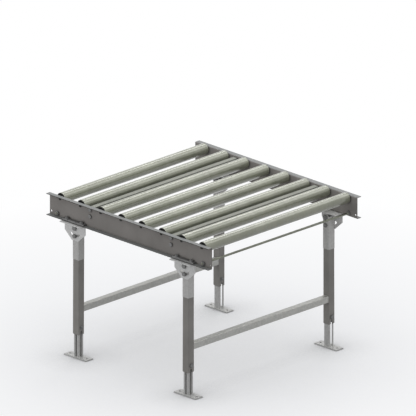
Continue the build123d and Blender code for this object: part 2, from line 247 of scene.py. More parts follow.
def dressed(node, mesh, material, smooth_to=sharp_turn):
    """A piece that stands for one CAD node, on that node's body and in its material slot."""
    piece = set_piece(node + "_finished", mesh, material, body_of_node[node], smooth_to)
    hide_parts(node)


rail_enamel = enamel("rail_enamel", rail_grey, roughness=0.42, wear=0.9, dust=top_dust_shade_and_sheen)
for rail in ("left_rail", "right_rail"):
    channel = merged_copy(rail)
    mark_cut_edges(channel, rail_sheet)
    break_edges(channel, sharp_edges(channel, sharp_turn), rail_arris, arris_steps)
    dressed(rail, channel, rail_enamel)


# Cross members
# Two folded channels that hold the rails apart, with a tapped plate welded over each end.
# Dark grey enamel over the whole welding, its dark also painting the shade on the sides, with a pale olive top
# that is dust and painted light, and dark zinc-plated screws through the webs.
# The dark body also paints the shade on the sides. The pale olive top is dust and painted light.
cross_grey_and_side_shade = (0.170, 0.172, 0.155, 1.0)
olive_dust_and_top_light = (0.390, 0.400, 0.353, 1.0)
lengthwise_edge = 0.5
cross_enamel = enamel("cross_member_enamel", cross_grey_and_side_shade, roughness=0.46, wear=0.6, dust=olive_dust_and_top_light)
for member in ("rear_cross_member", "front_cross_member"):
    channel = merged_copy(member)
    long_edges = [e for e in sharp_edges(channel, sharp_turn) if e.calc_length() > lengthwise_edge]
    break_edges(channel, long_edges, rail_arris, arris_steps)
    dressed(member, channel, cross_enamel)

screw_zinc_dark = (0.20, 0.20, 0.20, 1.0)
screw_zinc_pale = (0.29, 0.29, 0.285, 1.0)
cross_screw_size = 0.010
head_width_share = 1.7
head_height_share = 0.64
nut_height_share = 0.8
pitch_share = 0.15
ridge_slope = 1.2
tip_share = 0.86
bore_fit = 0.0001
thread_turn = radians(28)


def plated(name, dark, pale, roughness, cell, metallic):
    """Zinc plate: metal whose tone shifts from crystal to crystal, with fine handling marks."""
    material, tree, shader = new_finish(name, Metallic=metallic, Specular_IOR_Level=0.35)
    place = surface_place(tree)
    crystals = add(tree, "ShaderNodeTexVoronoi", {"Vector": place, "Scale": 1 / cell, "Randomness": 1.0})
    tone = add(tree, "ShaderNodeSeparateColor", {"Color": crystals.outputs["Color"]}).outputs["Red"]
    clouds = noise(tree, place, 14.0, 4.0, 0.6)
    marks = noise(tree, surface_place(tree, (1, 1, 0.12)), 900.0, 2.0)
    share = sum_of(tree, "ADD", product(tree, tone, 0.45), product(tree, clouds, 0.65))
    cover(tree, shader, mixed(tree, ranged(tree, share, 0.2, 0.85, 0.0, 1.0), dark, pale),
          ranged(tree, share, 0.1, 0.9, roughness + 0.08, roughness - 0.06),
          [(marks, 0.00001), (tone, 0.000012)])
    return material


def new_tree(name, sizes):
    """A Geometry Nodes tree with a geometry, named sizes and a material coming in, and geometry out."""
    tree = bpy.data.node_groups.new(name, "GeometryNodeTree")
    sockets = tree.interface
    sockets.new_socket("Places", in_out="INPUT", socket_type="NodeSocketGeometry")
    for label, value in sizes.items():
        kind = "NodeSocketInt" if isinstance(value, int) else "NodeSocketFloat"
        sockets.new_socket(label, in_out="INPUT", socket_type=kind).default_value = value
    sockets.new_socket("Material", in_out="INPUT", socket_type="NodeSocketMaterial")
    sockets.new_socket("Geometry", in_out="OUTPUT", socket_type="NodeSocketGeometry")
    return tree, tree.nodes.new("NodeGroupInput").outputs


def end_tree(tree, geometry, material):
    """Real geometry with its material, as the tree's result."""
    real = add(tree, "GeometryNodeRealizeInstances", {"Geometry": geometry}).outputs["Geometry"]
    painted = add(tree, "GeometryNodeSetMaterial", {"Geometry": real, "Material": material})
    add(tree, "NodeGroupOutput", {"Geometry": painted.outputs["Geometry"]})


def at_places(tree, places, piece):
    """Copies of a piece at the places, turned as each place says."""
    turn = add(tree, "GeometryNodeInputNamedAttribute", {"Name": "turn"}, data_type="FLOAT_VECTOR")
    rotation = add(tree, "FunctionNodeEulerToRotation", {"Euler": turn.outputs["Attribute"]})
    inputs = {"Points": places, "Instance": piece, "Rotation": rotation.outputs["Rotation"]}
    return add(tree, "GeometryNodeInstanceOnPoints", inputs).outputs["Instances"]


def vector_of(tree, x, y, z):
    return add(tree, "ShaderNodeCombineXYZ", {"X": x, "Y": y, "Z": z}).outputs["Vector"]


def moved(tree, geometry, offset):
    return add(tree, "GeometryNodeTransform", {"Geometry": geometry, "Translation": offset}).outputs["Geometry"]


def hex_tree():
    """Hexagon with a chamfered top, drilled if it has a bore: a nut, or the head of a bolt."""
    tree, sizes = new_tree("hexagons", {"Width": 0.017, "Height": 0.008, "Bore": 0.010, "Chamfer share": 0.95})
    width, height = sizes["Width"], sizes["Height"]
    corner = product(tree, width, 0.5 / cos(radians(30)))
    prism = add(tree, "GeometryNodeMeshCylinder", {"Vertices": 6, "Radius": corner,
                                                   "Depth": product(tree, height, 2.0)})
    top = product(tree, product(tree, width, 0.5), sizes["Chamfer share"])
    cone_base = sum_of(tree, "ADD", top, product(tree, height, 1.5 * tan(radians(60))))
    cone = add(tree, "GeometryNodeMeshCone", {"Vertices": 48, "Radius Top": top, "Radius Bottom": cone_base,
                                              "Depth": product(tree, height, 1.5)})
    cone_up = moved(tree, cone.outputs["Mesh"], vector_of(tree, 0.0, 0.0, product(tree, height, -0.5)))
    prism_up = moved(tree, prism.outputs["Mesh"], vector_of(tree, 0.0, 0.0, height))
    turned_hex = add(tree, "GeometryNodeMeshBoolean", operation="INTERSECT", solver="EXACT")
    tree.links.new(prism_up, turned_hex.inputs["Mesh 2"])
    tree.links.new(cone_up, turned_hex.inputs["Mesh 2"])
    drill = add(tree, "GeometryNodeMeshCylinder", {"Vertices": 24, "Radius": product(tree, sizes["Bore"], 0.5),
                                                   "Depth": product(tree, height, 3.0)})
    drilled = add(tree, "GeometryNodeMeshBoolean", {"Mesh 1": turned_hex.outputs["Mesh"]},
                  operation="DIFFERENCE", solver="EXACT")
    tree.links.new(drill.outputs["Mesh"], drilled.inputs["Mesh 2"])
    has_bore = add(tree, "FunctionNodeCompare", {0: sizes["Bore"], 1: 0.0}, data_type="FLOAT",
                   operation="GREATER_THAN").outputs["Result"]
    piece = add(tree, "GeometryNodeSwitch", {"Switch": has_bore, "False": turned_hex.outputs["Mesh"],
                                             "True": drilled.outputs["Mesh"]}, input_type="GEOMETRY")
    end_tree(tree, at_places(tree, sizes["Places"], piece.outputs["Output"]), sizes["Material"])
    return tree


def thread_tree():
    """Threaded end of a bolt, stud or rod: a helix of ridges, and a chamfered tip."""
    tree, sizes = new_tree("threads", {"Diameter": 0.010, "Pitch": 0.0015, "Length": 0.010,
                                       "Sides": 24, "Steps": 4})
    radius = product(tree, sizes["Diameter"], 0.5)
    rounds = sum_of(tree, "DIVIDE", sizes["Length"], sizes["Pitch"])
    rings = product(tree, rounds, sizes["Steps"])
    bar = add(tree, "GeometryNodeMeshCylinder", {"Vertices": sizes["Sides"], "Side Segments": rings,
                                                 "Radius": radius, "Depth": sizes["Length"]})
    bar_up = moved(tree, bar.outputs["Mesh"], vector_of(tree, 0.0, 0.0, product(tree, sizes["Length"], 0.5)))
    spot = add(tree, "ShaderNodeSeparateXYZ", {"Vector": add(tree, "GeometryNodeInputPosition").outputs[0]})
    round_share = product(tree, sum_of(tree, "ARCTAN2", spot.outputs["Y"], spot.outputs["X"]), 0.5 / pi)
    climb = sum_of(tree, "SUBTRACT", sum_of(tree, "DIVIDE", spot.outputs["Z"], sizes["Pitch"]), round_share)
    ridge = sum_of(tree, "PINGPONG", climb, 0.5)
    depth = product(tree, product(tree, ridge, ridge_slope), sizes["Pitch"])
    cut = sum_of(tree, "SUBTRACT", radius, depth)
    to_tip = sum_of(tree, "SUBTRACT", sizes["Length"], spot.outputs["Z"])
    tip = sum_of(tree, "ADD", product(tree, radius, tip_share), to_tip)
    share = sum_of(tree, "DIVIDE", sum_of(tree, "MINIMUM", cut, tip), radius)
    place = vector_of(tree, product(tree, spot.outputs["X"], share), product(tree, spot.outputs["Y"], share),
                      spot.outputs["Z"])
    threaded = add(tree, "GeometryNodeSetPosition", {"Geometry": bar_up, "Position": place})
    end_tree(tree, at_places(tree, sizes["Places"], threaded.outputs["Geometry"]), sizes["Material"])
    return tree


def ring_tree():
    """Ring with rounded edges: a washer, a bearing ring, or the tube of a roller."""
    tree, sizes = new_tree("rings", {"Outer radius": 0.010, "Inner radius": 0.005, "Length": 0.002,
                                     "Edge": 0.0003, "Sides": 48, "Edge steps": 3})
    outer, inner = sizes["Outer radius"], sizes["Inner radius"]
    middle = product(tree, sum_of(tree, "ADD", outer, inner), 0.5)
    path = add(tree, "GeometryNodeCurvePrimitiveCircle", {"Resolution": sizes["Sides"], "Radius": middle})
    section = add(tree, "GeometryNodeCurvePrimitiveQuadrilateral",
                  {"Width": sum_of(tree, "SUBTRACT", outer, inner), "Height": sizes["Length"]})
    rounded = add(tree, "GeometryNodeFilletCurve", {"Curve": section.outputs[0], "Radius": sizes["Edge"],
                                                    "Count": sizes["Edge steps"]}, mode="POLY")
    ring = add(tree, "GeometryNodeCurveToMesh", {"Curve": path.outputs["Curve"],
                                                 "Profile Curve": rounded.outputs["Curve"]})
    lifted = moved(tree, ring.outputs["Mesh"], vector_of(tree, 0.0, 0.0, product(tree, sizes["Length"], 0.5)))
    end_tree(tree, at_places(tree, sizes["Places"], lifted), sizes["Material"])
    return tree


def places_mesh(places):
    """A mesh with a vertex for each place, and the turn that points +Z along the place's direction."""
    data = bpy.data.meshes.new("places")
    data.from_pydata([spot for spot, direction in places], [], [])
    turns = data.attributes.new("turn", "FLOAT_VECTOR", "POINT")
    for index, (spot, direction) in enumerate(places):
        turns.data[index].vector = Vector(direction).to_track_quat("Z", "Y").to_euler()
    return data


def made_by(tree, data, material, **sizes):
    """The plain mesh that a Geometry Nodes tree makes from a mesh and named sizes."""
    carrier = bpy.data.objects.new("carrier", data)
    bpy.context.scene.collection.objects.link(carrier)
    modifier = carrier.modifiers.new("maker", "NODES")
    modifier.node_group = tree
    given = {label.replace("_", " "): value for label, value in sizes.items()}
    given["Material"] = material
    for socket in tree.interface.items_tree:
        if socket.in_out == "INPUT" and socket.name in given:
            modifier[socket.identifier] = given[socket.name]
    depsgraph = bpy.context.evaluated_depsgraph_get()
    result = bpy.data.meshes.new_from_object(carrier.evaluated_get(depsgraph), depsgraph=depsgraph)
    bpy.data.objects.remove(carrier)
    return result


def joined(meshes):
    """One bmesh from several meshes."""
    whole = bmesh.new()
    for data in meshes:
        whole.from_mesh(data)
    return whole


def solid_boxes(node):
    """Lowest and highest corners of each separate solid of a CAD piece, in the order of its mesh."""
    mesh = bmesh.new()
    mesh.from_mesh(cad_nodes[node].data)
    bmesh.ops.remove_doubles(mesh, verts=mesh.verts, dist=weld_distance)
    seen, boxes = set(), []
    for first in mesh.verts:
        if first in seen:
            continue
        seen.add(first)
        reached = [first]
        for vertex in reached:
            for edge in vertex.link_edges:
                other = edge.other_vert(vertex)
                if other not in seen:
                    seen.add(other)
                    reached.append(other)
        low = Vector(min(v.co[axis] for v in reached) for axis in range(3))
        high = Vector(max(v.co[axis] for v in reached) for axis in range(3))
        boxes.append((low, high))
    mesh.free()
    return boxes


def outward(box, axis):
    """Unit vector along an axis, away from the middle of the conveyor."""
    low, high = box
    direction = Vector((0, 0, 0))
    direction[axis] = 1 if low[axis] + high[axis] > 0 else -1
    return direction


def face_centre(box, direction):
    """Middle of the face of a box that looks in a direction."""
    low, high = box
    centre, half = (low + high) / 2, (high - low) / 2
    return centre + Vector(half[axis] * direction[axis] for axis in range(3))


hexagons = hex_tree()
threads = thread_tree()
rings = ring_tree()
fastener_plate = plated("fastener_plate", screw_zinc_dark, screw_zinc_pale, roughness=0.42, cell=0.0016,
                        metallic=0.3)


def bolt_heads(boxes, axis, thread):
    """Heads of bolts that point outwards: their places on the seats, and the mesh."""
    seats = []
    for box in boxes:
        direction = outward(box, axis)
        seats.append((face_centre(box, direction) - direction * thread * head_height_share, direction))
    return seats, made_by(hexagons, places_mesh(seats), fastener_plate, Width=thread * head_width_share,
                          Height=thread * head_height_share, Bore=0.0)


def threaded_ends(places, thread, length):
    """Threaded bars that start at the places."""
    return made_by(threads, places_mesh(places), fastener_plate, Diameter=thread, Pitch=thread * pitch_share,
                   Length=length)


screw_boxes = solid_boxes("cross_member_bolts")
screw_seats, screw_heads = bolt_heads(screw_boxes, 1, cross_screw_size)
screw_length = screw_boxes[0][1].y - screw_boxes[0][0].y - cross_screw_size * head_height_share
screw_shanks = threaded_ends([(seat, -direction) for seat, direction in screw_seats], cross_screw_size,
                             screw_length)
dressed("cross_member_bolts", joined([screw_heads, screw_shanks]), fastener_plate, thread_turn)


# Tie rods
# A bright drawn bar near each end of the section, threaded at both ends.
# A nut on each face of both webs sets the width between the rails.
rod_thread_length = 0.032
rod_sides = 48
rod_dark = (0.145, 0.152, 0.122, 1.0)
rod_pale = (0.21, 0.218, 0.18, 1.0)


def drawn(name, dark, pale, roughness, line_scale):
    """Drawn or turned steel with fine lines, stretched by a scale for each axis."""
    material, tree, shader = new_finish(name, Metallic=0.85)
    lines = noise(tree, surface_place(tree, line_scale), 40.0, 4.0, 0.65)
    clouds = noise(tree, surface_place(tree), 10.0, 4.0, 0.6)
    cover(tree, shader, clouded(tree, clouds, dark, pale),
          ranged(tree, lines, 0.3, 0.7, roughness - 0.05, roughness + 0.08), [(lines, 0.00002)])
    return material


rod_steel = drawn("drawn_rod", rod_dark, rod_pale, roughness=0.33, line_scale=(30, 0.5, 30))
for rod in ("rear_tie_rod", "front_tie_rod"):
    low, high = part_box(rod)
    end, thread = high.y, high.x - low.x
    centre = (low + high) / 2
    plain_end = end - rod_thread_length
    starts = [(centre + Vector((0, side * plain_end, 0)), Vector((0, side, 0))) for side in (-1, 1)]
    ends = made_by(threads, places_mesh(starts), rod_steel, Diameter=thread, Pitch=thread * pitch_share,
                   Length=rod_thread_length)
    bar = bmesh.new()
    bmesh.ops.create_cone(bar, segments=rod_sides, radius1=thread / 2, radius2=thread / 2, depth=2 * plain_end,
                          cap_ends=True)
    for vertex in bar.verts:
        vertex.co = centre + Vector((vertex.co.x, vertex.co.z, -vertex.co.y))
    bar.from_mesh(ends)
    dressed(rod, bar, rod_steel)

rod_thread = 0.010


def nut_places(boxes, axis, seat_sign):
    """Seats of nuts, on their inner faces (-1) or their outer faces (+1) along an axis."""
    seats = []
    for box in boxes:
        direction = outward(box, axis) * -seat_sign
        seats.append((face_centre(box, -direction), direction))
    return seats


def nuts(places, thread):
    return made_by(hexagons, places_mesh(places), fastener_plate, Width=thread * head_width_share,
                   Height=thread * nut_height_share, Bore=thread + bore_fit)


web_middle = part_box("left_rail")[0].y + rail_sheet / 2
rod_nut_boxes = solid_boxes("tie_rod_nuts")
outer_nuts = [box for box in rod_nut_boxes if abs(box[0].y + box[1].y) / 2 > web_middle]
inner_nuts = [box for box in rod_nut_boxes if abs(box[0].y + box[1].y) / 2 <= web_middle]
rod_nut_places = nut_places(outer_nuts, 1, -1) + nut_places(inner_nuts, 1, 1)
dressed("tie_rod_nuts", joined([nuts(rod_nut_places, rod_thread)]), fastener_plate, thread_turn)


# Rollers
# Eight welded steel tubes, zinc plated and passivated to a faint olive, so they carry goods bare.
# Each turns on two bearings, in black moulded housings that are pressed into its ends.
roller_sides = 112
tube_edge = 0.0006
tube_wall = 0.0015
olive_zinc_dark = (0.262, 0.272, 0.207, 1.0)
olive_zinc_pale = (0.350, 0.363, 0.277, 1.0)
rubbed_zinc = (0.38, 0.38, 0.315, 1.0)


def passivated(name, dark, pale):
    """Passivated zinc on a rolled tube: soft olive clouds, turning lines, and faint bands where goods run."""
    material, tree, shader = new_finish(name, Metallic=0.08, Specular_IOR_Level=0.2, Coat_Weight=1.0,
                                        Coat_Roughness=0.14)
    place = surface_place(tree)
    clouds = noise(tree, place, 9.0, 5.0, 0.6)
    lines = noise(tree, surface_place(tree, (2, 900, 2)), 1.0, 3.0, 0.7)
    bands = noise(tree, surface_place(tree, (0.5, 26, 0.5)), 1.0, 4.0, 0.6)
    scuffs = noise(tree, surface_place(tree, (260, 9, 260)), 1.0, 3.0, 0.6)
    rubbed = ranged(tree, bands, 0.48, 0.72, 0.0, 0.35)
    rough = sum_of(tree, "ADD", ranged(tree, lines, 0.3, 0.7, 0.22, 0.30),
                   ranged(tree, scuffs, 0.55, 0.8, 0.0, 0.12))
    cover(tree, shader, mixed(tree, rubbed, clouded(tree, clouds, dark, pale), rubbed_zinc), rough,
          [(lines, 0.000006), (scuffs, 0.000008)])
    return material


roller_zinc = passivated("passivated_zinc", olive_zinc_dark, olive_zinc_pale)
roller_tubes = sorted(n for n in cad_nodes if n.startswith("roller_") and n.endswith("_tube"))
for tube in roller_tubes:
    low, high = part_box(tube)
    radius = (high.x - low.x) / 2
    start = Vector(((low.x + high.x) / 2, low.y, (low.z + high.z) / 2))
    shell = made_by(rings, places_mesh([(start, Vector((0, 1, 0)))]), roller_zinc, Outer_radius=radius,
                    Inner_radius=radius - tube_wall, Length=high.y - low.y, Edge=tube_edge, Sides=roller_sides)
    dressed(tube, shell, roller_zinc)


# Bearing housings and axles
# Black moulded plugs pressed into the tubes, with a flange over the tube's rim and ribs between rim and hub.
# A bearing with a bright inner ring sits in each, on a dark hexagonal axle that a spring holds in the webs; its
# near-black also paints the shade on the axle ends under the flange.
housing_sides = 72
housing_colour = (0.012, 0.012, 0.012, 1.0)
housing_dust = (0.13, 0.132, 0.12, 1.0)
dust_reach = 0.004
housing_turn = radians(40)
rib_count = 12
rib_half = 0.0006
rib_outline = [(0.0130, 0.0004), (0.0208, 0.0004), (0.0208, 0.0031), (0.0130, 0.0031)]
housing_outline = [
    (0.0234, 0.0200), (0.0234, 0.0002), (0.0243, 0.0002), (0.0246, -0.0002), (0.0246, -0.0007),
    (0.0242, -0.0011), (0.0216, -0.0011), (0.0211, -0.0006), (0.0207, 0.0030), (0.0134, 0.0030),
    (0.0130, -0.0006), (0.0126, -0.0010), (0.0098, -0.0010), (0.0093, -0.0005), (0.0093, 0.0200),
]


def moulded(name, colour, roughness):
    """Moulded black plastic with a fine grain and pale dust in its hollows."""
    material, tree, shader = new_finish(name, Specular_IOR_Level=0.45)
    place = surface_place(tree)
    clouds = noise(tree, place, 30.0, 4.0, 0.6)
    grain = noise(tree, place, 2600.0, 2.0)
    dust = product(tree, ranged(tree, openness(tree, dust_reach), 0.3, 0.85, 1.0, 0.0),
                   ranged(tree, clouds, 0.3, 0.7, 0.4, 1.0))
    cover(tree, shader, mixed(tree, dust, colour, housing_dust),
          ranged(tree, grain, 0.3, 0.7, roughness - 0.05, roughness + 0.08), [(grain, 0.00001)])
    return material


def turned(mesh, outline, centre, direction, sides):
    """Closed solid of revolution about Y: outline points are a radius and a depth against the direction."""
    loops = []
    for radius, depth in outline:
        y = centre.y - direction * depth
        loops.append([mesh.verts.new((centre.x + radius * cos(2 * pi * i / sides), y,
                                      centre.z + radius * sin(2 * pi * i / sides))) for i in range(sides)])
    for inner, outer in zip(loops, loops[1:] + loops[:1]):
        for i in range(sides):
            mesh.faces.new((inner[i - 1], inner[i], outer[i], outer[i - 1]))


def rib(mesh, centre, direction, angle):
    """One radial rib between the housing's rim and hub."""
    out = Vector((cos(angle), 0, sin(angle)))
    across = Vector((-sin(angle), 0, cos(angle)))
    corners = []
    for radius, depth in rib_outline:
        for side in (-1, 1):
            spot = centre + out * radius + across * side * rib_half
            corners.append(mesh.verts.new((spot.x, centre.y - direction * depth, spot.z)))
    for i in range(4):
        a, b = 2 * i, 2 * ((i + 1) % 4)
        mesh.faces.new((corners[a], corners[b], corners[b + 1], corners[a + 1]))
    mesh.faces.new(corners[0::2])
    mesh.faces.new(corners[7::-2])


housing_black = moulded("housing_black", housing_colour, roughness=0.42)
for tube in roller_tubes:
    housings = tube.replace("tube", "housings")
    low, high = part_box(tube)
    plugs = bmesh.new()
    for side, end in ((-1, low.y), (1, high.y)):
        centre = Vector(((low.x + high.x) / 2, end, (low.z + high.z) / 2))
        turned(plugs, housing_outline, centre, side, housing_sides)
        for n in range(rib_count):
            rib(plugs, centre, side, 2 * pi * (n + 0.5) / rib_count)
    bmesh.ops.recalc_face_normals(plugs, faces=plugs.faces)
    dressed(housings, plugs, housing_black, housing_turn)

bearing_dark = (0.52, 0.52, 0.53, 1.0)
bearing_pale = (0.62, 0.62, 0.63, 1.0)
bearing_steel = drawn("bearing_steel", bearing_dark, bearing_pale, roughness=0.25, line_scale=(4, 90, 4))
for inner_steel in ("bearing_inner_rings", "axle_springs"):
    dressed(inner_steel, merged_copy(inner_steel), bearing_steel)

axle_arris = 0.0007
# The near-black is black oxide, and also paints the shade on the axle ends under the flange.
axle_dark_and_shade = (0.030, 0.030, 0.029, 1.0)
axle_pale_and_shade = (0.055, 0.054, 0.052, 1.0)
axle_steel = drawn("axle_steel", axle_dark_and_shade, axle_pale_and_shade, roughness=0.45, line_scale=(30, 0.6, 30))
for tube in roller_tubes:
    axle = tube.replace("tube", "axle")
    bar = merged_copy(axle)
    break_edges(bar, sharp_edges(bar, sharp_turn), axle_arris, arris_steps)
    dressed(axle, bar, axle_steel)


# Head brackets and clamps
# A galvanised 4 mm plate under each rail, with an ear welded below it that has an arc slot about the pivot.
# Two studs welded to the plate pass through the flange and a flat bar that nuts clamp, all plated dark; the
# bar's dark also paints the shade over the flange there.
plate_thickness = 0.004
plate_arris = 0.0005
ear_foot = 0.03
bracket_side_margin = 0.004
bead_radius = 0.0016
bead_ripple = 0.0013
bead_step = 0.0004
galvanised_dark = (0.70, 0.698, 0.688, 1.0)
galvanised_pale = (0.84, 0.838, 0.827, 1.0)


def bead_tree():
    """Weld bead along the mesh's edges: a round run whose width swells at each ripple."""
    tree, sizes = new_tree("weld beads", {"Radius": bead_radius, "Ripple": bead_ripple, "Step": bead_step,
                                          "Seed": 3})
    path = add(tree, "GeometryNodeMeshToCurve", {"Mesh": sizes["Places"]}).outputs["Curve"]
    fine = add(tree, "GeometryNodeResampleCurve", {"Curve": path, "Length": sizes["Step"]}, mode="LENGTH")
    along = add(tree, "GeometryNodeSplineParameter").outputs["Length"]
    wave = sum_of(tree, "PINGPONG", sum_of(tree, "DIVIDE", along, sizes["Ripple"]), 0.5)
    spot = add(tree, "GeometryNodeInputPosition").outputs[0]
    wander = add(tree, "ShaderNodeTexNoise", {"Vector": spot, "W": sizes["Seed"], "Scale": 150.0},
                 noise_dimensions="4D").outputs["Fac"]
    uneven = sum_of(tree, "ADD", product(tree, wave, 0.5), product(tree, wander, 0.5))
    swell = product(tree, sizes["Radius"], sum_of(tree, "ADD", uneven, 0.5))
    section = add(tree, "GeometryNodeCurvePrimitiveCircle", {"Resolution": 8, "Radius": 1.0})
    bead = add(tree, "GeometryNodeCurveToMesh", {"Curve": fine.outputs["Curve"],
                                                 "Profile Curve": section.outputs["Curve"],
                                                 "Scale": swell, "Fill Caps": True})
    end_tree(tree, bead.outputs["Mesh"], sizes["Material"])
    return tree


def beads(paths, material):
    """Weld beads along open or closed paths, each a list of points and whether it closes."""
    data = bpy.data.meshes.new("paths")
    spots, edges = [], []
    for points, closed in paths:
        first = len(spots)
        spots += [tuple(p) for p in points]
        edges += [(first + i, first + i + 1) for i in range(len(points) - 1)]
        if closed:
            edges.append((len(spots) - 1, first))
    data.from_pydata(spots, edges, [])
    return made_by(weld_beads, data, material)


weld_beads = bead_tree()
bracket_zinc = plated("galvanised_bracket", galvanised_dark, galvanised_pale, roughness=0.40, cell=0.007,
                      metallic=0.12)
for bracket in sorted(n for n in cad_nodes if n.endswith("_head_bracket")):
    low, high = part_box(bracket)
    sheet = merged_copy(bracket)
    break_edges(sheet, sharp_edges(sheet, sharp_turn), plate_arris, arris_steps)
    ear_faces = [v.co.y for v in cad_nodes[bracket].data.vertices if v.co.z < low.z + ear_foot]
    under = high.z - plate_thickness
    runs = []
    for y in (min(ear_faces), max(ear_faces)):
        ends = [Vector((x, y, under)) for x in (low.x + bracket_side_margin, high.x - bracket_side_margin)]
        runs.append((ends, False))
    sheet.from_mesh(beads(runs, bracket_zinc))
    dressed(bracket, sheet, bracket_zinc)

# The bar's dark plating also paints the shade that lies over the flange there.
clamp_dark_and_shade = (0.17, 0.17, 0.17, 1.0)
clamp_pale_and_shade = (0.27, 0.27, 0.27, 1.0)
clamp_plate = plated("clamp_plate", clamp_dark_and_shade, clamp_pale_and_shade, roughness=0.42, cell=0.004, metallic=0.6)
bars = merged_copy("clamp_bars")
break_edges(bars, sharp_edges(bars, sharp_turn), plate_arris, arris_steps)
dressed("clamp_bars", bars, clamp_plate)

stud_thread = 0.008
upward = Vector((0, 0, 1))
stud_boxes = solid_boxes("clamp_studs")
stud_places = [(face_centre(box, -upward), upward) for box in stud_boxes]
stud_length = stud_boxes[0][1].z - stud_boxes[0][0].z
dressed("clamp_studs", joined([threaded_ends(stud_places, stud_thread, stud_length)]), fastener_plate,
        thread_turn)
clamp_nut_places = [(face_centre(box, -upward), upward) for box in solid_boxes("clamp_nuts")]
dressed("clamp_nuts", joined([nuts(clamp_nut_places, stud_thread)]), fastener_plate, thread_turn)


# Pivot bolts
# An M12 bolt through each ear and head sleeve, and its nut against the inner side.
# The stand tilts about them once the locks below are slackened.
pivot_thread = 0.012
washer_height_share = 0.2
washer_edge = 0.0003
washer_sides = 40
same_length = 0.0002


def fastener_boxes(node, axis, thread):
    """Boxes of a node's bolts, nuts and washers, told apart by their lengths along an axis."""
    boxes = solid_boxes(node)
    lengths = [box[1][axis] - box[0][axis] for box in boxes]
    longest = max(lengths)
    bolt_boxes = [box for box, length in zip(boxes, lengths) if length > 0.9 * longest]
    nut_boxes = [box for box, length in zip(boxes, lengths)
                 if abs(length - thread * nut_height_share) < same_length]
    washer_boxes = [box for box, length in zip(boxes, lengths) if length < thread * 0.5]
    return bolt_boxes, nut_boxes, washer_boxes


def fastened(node, axis, thread):
    """The dressed fasteners of one node: heads, washers, nuts, and the threads that show."""
    bolt_boxes, nut_boxes, washer_boxes = fastener_boxes(node, axis, thread)
    seats, heads = bolt_heads(bolt_boxes, axis, thread)
    shank = bolt_boxes[0][1][axis] - bolt_boxes[0][0][axis] - thread * head_height_share
    shanks = threaded_ends([(seat, -direction) for seat, direction in seats], thread, shank)
    meshes = [heads, shanks, nuts(nut_places(nut_boxes, axis, 1), thread)]
    if washer_boxes:
        seats = [(face_centre(box, -outward(box, axis)), outward(box, axis)) for box in washer_boxes]
        meshes.append(made_by(rings, places_mesh(seats), fastener_plate, Outer_radius=thread,
                              Inner_radius=(thread + bore_fit) / 2, Length=thread * washer_height_share,
                              Edge=washer_edge, Sides=washer_sides))
    dressed(node, joined(meshes), fastener_plate, thread_turn)


fastened("pivot_bolts", 1, pivot_thread)


# Stands
# Each is two enamelled legs of square tube, with a galvanised sleeve over each top as the tilting head.
# A crossbar of galvanised tube is welded between the legs, and locks clamp the tilt and the height.
leg_grey = (0.365, 0.350, 0.332, 1.0)
sleeve_zinc_dark = (0.55, 0.543, 0.53, 1.0)
sleeve_zinc_pale = (0.67, 0.662, 0.65, 1.0)
crossbar_zinc_dark = (0.45, 0.448, 0.427, 1.0)
crossbar_zinc_pale = (0.56, 0.558, 0.532, 1.0)
leg_corner = 0.0030
sleeve_corner = 0.0034
corner_steps = 4
tube_arris = 0.0003
shortest_run = 0.0005
on_corner = 0.00005
bead_inset = 0.0006
lock_thread = 0.010


def long_corners(mesh, axis, box):
    """The outer long edges of a square tube that runs along an axis, at the corners of its box."""
    low, high = box
    found = []
    for edge in mesh.edges:
        run = edge.verts[1].co - edge.verts[0].co
        if run.length < shortest_run or abs(run[axis]) < 0.999 * run.length or len(edge.link_faces) != 2:
            continue
        middle = (edge.verts[0].co + edge.verts[1].co) / 2
        others = [a for a in range(3) if a != axis]
        if all(min(abs(middle[a] - low[a]), abs(middle[a] - high[a])) < on_corner for a in others):
            found.append(edge)
    return found


def rounded_tube(node, axis, corner, box=None):
    """Copy of a square tube's CAD piece, with rolled corners and its cut edges broken."""
    tube = merged_copy(node)
    break_edges(tube, long_corners(tube, axis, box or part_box(node)), corner, corner_steps)
    break_edges(tube, sharp_edges(tube, sharp_turn), tube_arris, 1)
    return tube


leg_enamel = enamel("leg_enamel", leg_grey, roughness=0.45, wear=0.5, dust=top_dust_shade_and_sheen)
sleeve_zinc = plated("galvanised_sleeve", sleeve_zinc_dark, sleeve_zinc_pale, roughness=0.42, cell=0.006,
                     metallic=0.12)
bar_zinc = plated("galvanised_crossbar", crossbar_zinc_dark, crossbar_zinc_pale, roughness=0.40, cell=0.008,
                  metallic=0.35)
for leg in sorted(n for n in cad_nodes if n.endswith("_leg")):
    dressed(leg, rounded_tube(leg, 2, leg_corner), leg_enamel)

for stand in ("front", "rear"):
    sleeve_name = stand + "_head_sleeves"
    sleeves = merged_copy(sleeve_name)
    corners = []
    for box in solid_boxes(sleeve_name):
        corners += long_corners(sleeves, 2, box)
    break_edges(sleeves, corners, sleeve_corner, corner_steps)
    break_edges(sleeves, sharp_edges(sleeves, sharp_turn), tube_arris, 1)
    dressed(sleeve_name, sleeves, sleeve_zinc)

    bar_name = stand + "_crossbar"
    low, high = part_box(bar_name)
    bar = rounded_tube(bar_name, 1, leg_corner)
    loops = []
    for y in (low.y + bead_inset, high.y - bead_inset):
        loop = [(low.x + leg_corner, low.z), (high.x - leg_corner, low.z), (high.x, low.z + leg_corner),
                (high.x, high.z - leg_corner), (high.x - leg_corner, high.z), (low.x + leg_corner, high.z),
                (low.x, high.z - leg_corner), (low.x, low.z + leg_corner)]
        loops.append(([(x, y, z) for x, z in loop], True))
    bar.from_mesh(beads(loops, bar_zinc))
    dressed(bar_name, bar, bar_zinc)
    fastened(stand + "_tilt_locks", 1, lock_thread)
    fastened(stand + "_height_locks", 0, lock_thread)


